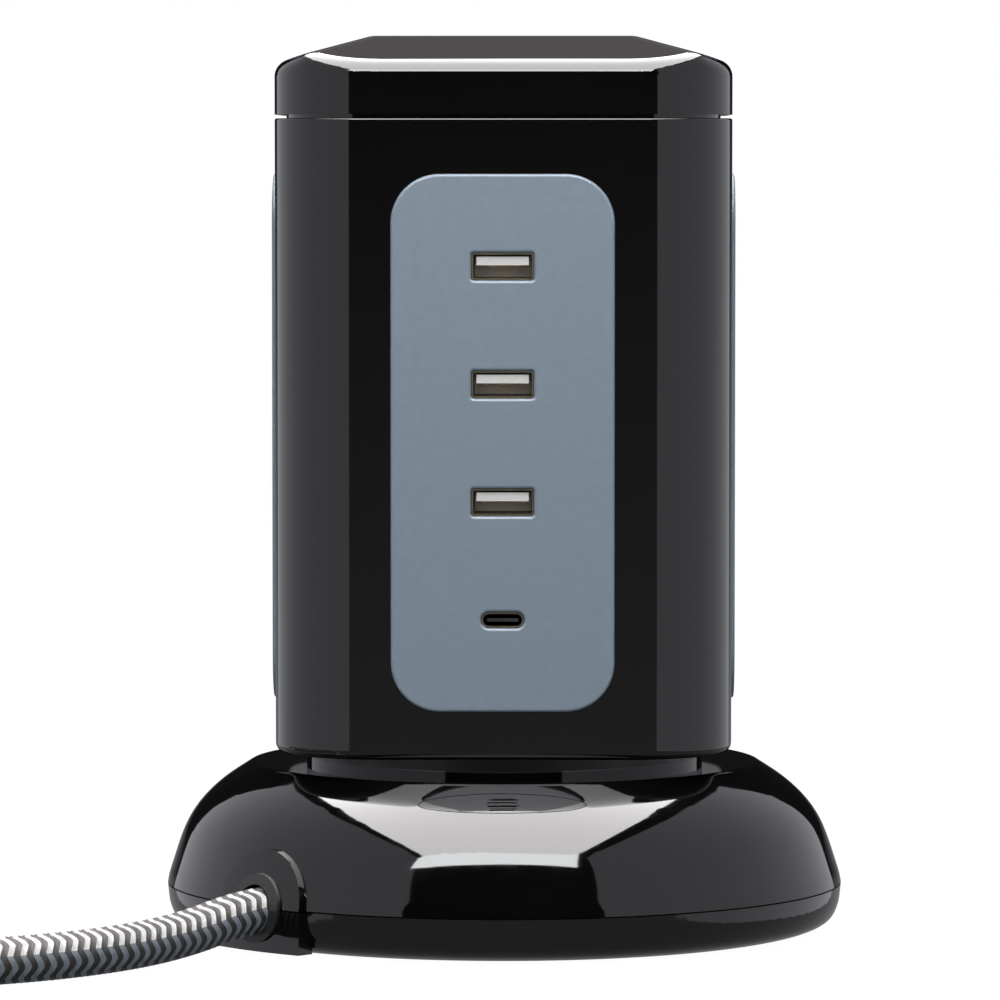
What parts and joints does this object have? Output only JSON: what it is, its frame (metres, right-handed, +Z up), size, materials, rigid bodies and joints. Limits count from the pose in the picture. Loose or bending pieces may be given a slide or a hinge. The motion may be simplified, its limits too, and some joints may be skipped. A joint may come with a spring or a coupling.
{
  "type": "tower power strip",
  "caption": "Free-standing tower power strip: rounded-square black tower with grey outlet and USB panels on a round domed base with a push switch and a braided mains cord.",
  "frame": {"origin": "centre of the round base on the surface it stands on, level with the rubber feet's undersides", "axes": "+Z up along the tower, -Y towards the USB side, +X to the right seen from that side"},
  "size_m": [0.3238, 0.1972, 0.1954],
  "materials": {
    "black_gloss": "polished black moulded plastic",
    "panel_grey": "fine satin blue-grey moulded plastic",
    "shutter_black": "satin black",
    "black_moulding": "satin black moulded plastic",
    "white_moulding": "white moulded plastic",
    "usb_steel": "plated folded steel",
    "gold_contact": "gold-plated spring contact",
    "screw_steel": "zinc-plated steel",
    "rubber": "soft black rubber",
    "circuit_board": "green glass-fibre board",
    "charger_parts": "dark wound and moulded parts",
    "brass": "drawn brass",
    "wire_insulation": "extruded insulation",
    "braided_cord": "black, white and grey textile braid in a herringbone",
    "strap": "black woven hook-and-loop strap",
    "fuse_ceramic": "glazed ceramic tube"
  },
  "bodies": {
    "tower": {"base_tray": "black_gloss", "base_dome": "black_gloss", "neck_ring": "black_gloss", "body_shell": "black_gloss", "lid": "black_gloss", "usb_panel": "panel_grey", "socket_panel_left": "panel_grey", "socket_panel_right": "panel_grey", "socket_panel_rear": "panel_grey", "power_switch": "black_moulding", "switch_bracket": "black_moulding", "cord_grommet": "black_moulding", "cord_clamp": "black_moulding", "plug_body": "black_moulding", "plug_fuse_carrier": "black_moulding", "plug_strain_relief": "black_moulding", "usb_c_tongue": "black_moulding", "socket_housing_left": "black_moulding", "socket_housing_right": "black_moulding", "socket_housing_rear": "black_moulding", "usb_a_tongues": "white_moulding", "usb_a_shell_top": "usb_steel", "usb_a_shell_middle": "usb_steel", "usb_a_shell_bottom": "usb_steel", "usb_c_shell": "usb_steel", "usb_a_contacts": "gold_contact", "base_screws": "screw_steel", "cord_clamp_screws": "screw_steel", "neck_screws": "screw_steel", "tower_screws": "screw_steel", "lid_screws": "screw_steel", "usb_board_screws": "screw_steel", "panel_screws": "screw_steel", "shutter_spring_left_upper": "screw_steel", "shutter_spring_left_lower": "screw_steel", "shutter_spring_right_upper": "screw_steel", "shutter_spring_right_lower": "screw_steel", "shutter_spring_rear_upper": "screw_steel", "shutter_spring_rear_lower": "screw_steel", "rubber_feet": "rubber", "usb_board": "circuit_board", "usb_charger_parts": "charger_parts", "live_rails": "brass", "neutral_rails": "brass", "earth_rails": "brass", "plug_pins": "brass", "supply_wires": "wire_insulation", "power_cord": "braided_cord", "power_cord_coil": "braided_cord", "power_cord_tail": "braided_cord", "cord_tie": "strap", "plug_fuse": "fuse_ceramic"},
    "power_button": {"power_button": "black_gloss", "button_plunger": "black_moulding"},
    "shutter_left_upper": {"shutter_left_upper": "shutter_black"},
    "shutter_left_lower": {"shutter_left_lower": "shutter_black"},
    "shutter_right_upper": {"shutter_right_upper": "shutter_black"},
    "shutter_right_lower": {"shutter_right_lower": "shutter_black"},
    "shutter_rear_upper": {"shutter_rear_upper": "shutter_black"},
    "shutter_rear_lower": {"shutter_rear_lower": "shutter_black"}
  },
  "joints": [
    {"name": "power_button_press", "type": "slide", "parent": "tower", "child": "power_button", "axis": [0, 0.5664, -0.8241], "range_m": [0, 0.0015], "stiffness_N_per_m": 600, "springref_m": -0.002},
    {"name": "shutter_left_upper_slide", "type": "slide", "parent": "tower", "child": "shutter_left_upper", "axis": [0, 0, -1], "range_m": [0, 0.006], "stiffness_N_per_m": 60, "springref_m": -0.004, "deforming": ["shutter_spring_left_upper"]},
    {"name": "shutter_left_lower_slide", "type": "slide", "parent": "tower", "child": "shutter_left_lower", "axis": [0, 0, -1], "range_m": [0, 0.006], "stiffness_N_per_m": 60, "springref_m": -0.004, "deforming": ["shutter_spring_left_lower"]},
    {"name": "shutter_right_upper_slide", "type": "slide", "parent": "tower", "child": "shutter_right_upper", "axis": [0, 0, -1], "range_m": [0, 0.006], "stiffness_N_per_m": 60, "springref_m": -0.004, "deforming": ["shutter_spring_right_upper"]},
    {"name": "shutter_right_lower_slide", "type": "slide", "parent": "tower", "child": "shutter_right_lower", "axis": [0, 0, -1], "range_m": [0, 0.006], "stiffness_N_per_m": 60, "springref_m": -0.004, "deforming": ["shutter_spring_right_lower"]},
    {"name": "shutter_rear_upper_slide", "type": "slide", "parent": "tower", "child": "shutter_rear_upper", "axis": [0, 0, -1], "range_m": [0, 0.006], "stiffness_N_per_m": 60, "springref_m": -0.004, "deforming": ["shutter_spring_rear_upper"]},
    {"name": "shutter_rear_lower_slide", "type": "slide", "parent": "tower", "child": "shutter_rear_lower", "axis": [0, 0, -1], "range_m": [0, 0.006], "stiffness_N_per_m": 60, "springref_m": -0.004, "deforming": ["shutter_spring_rear_lower"]}
  ]
}
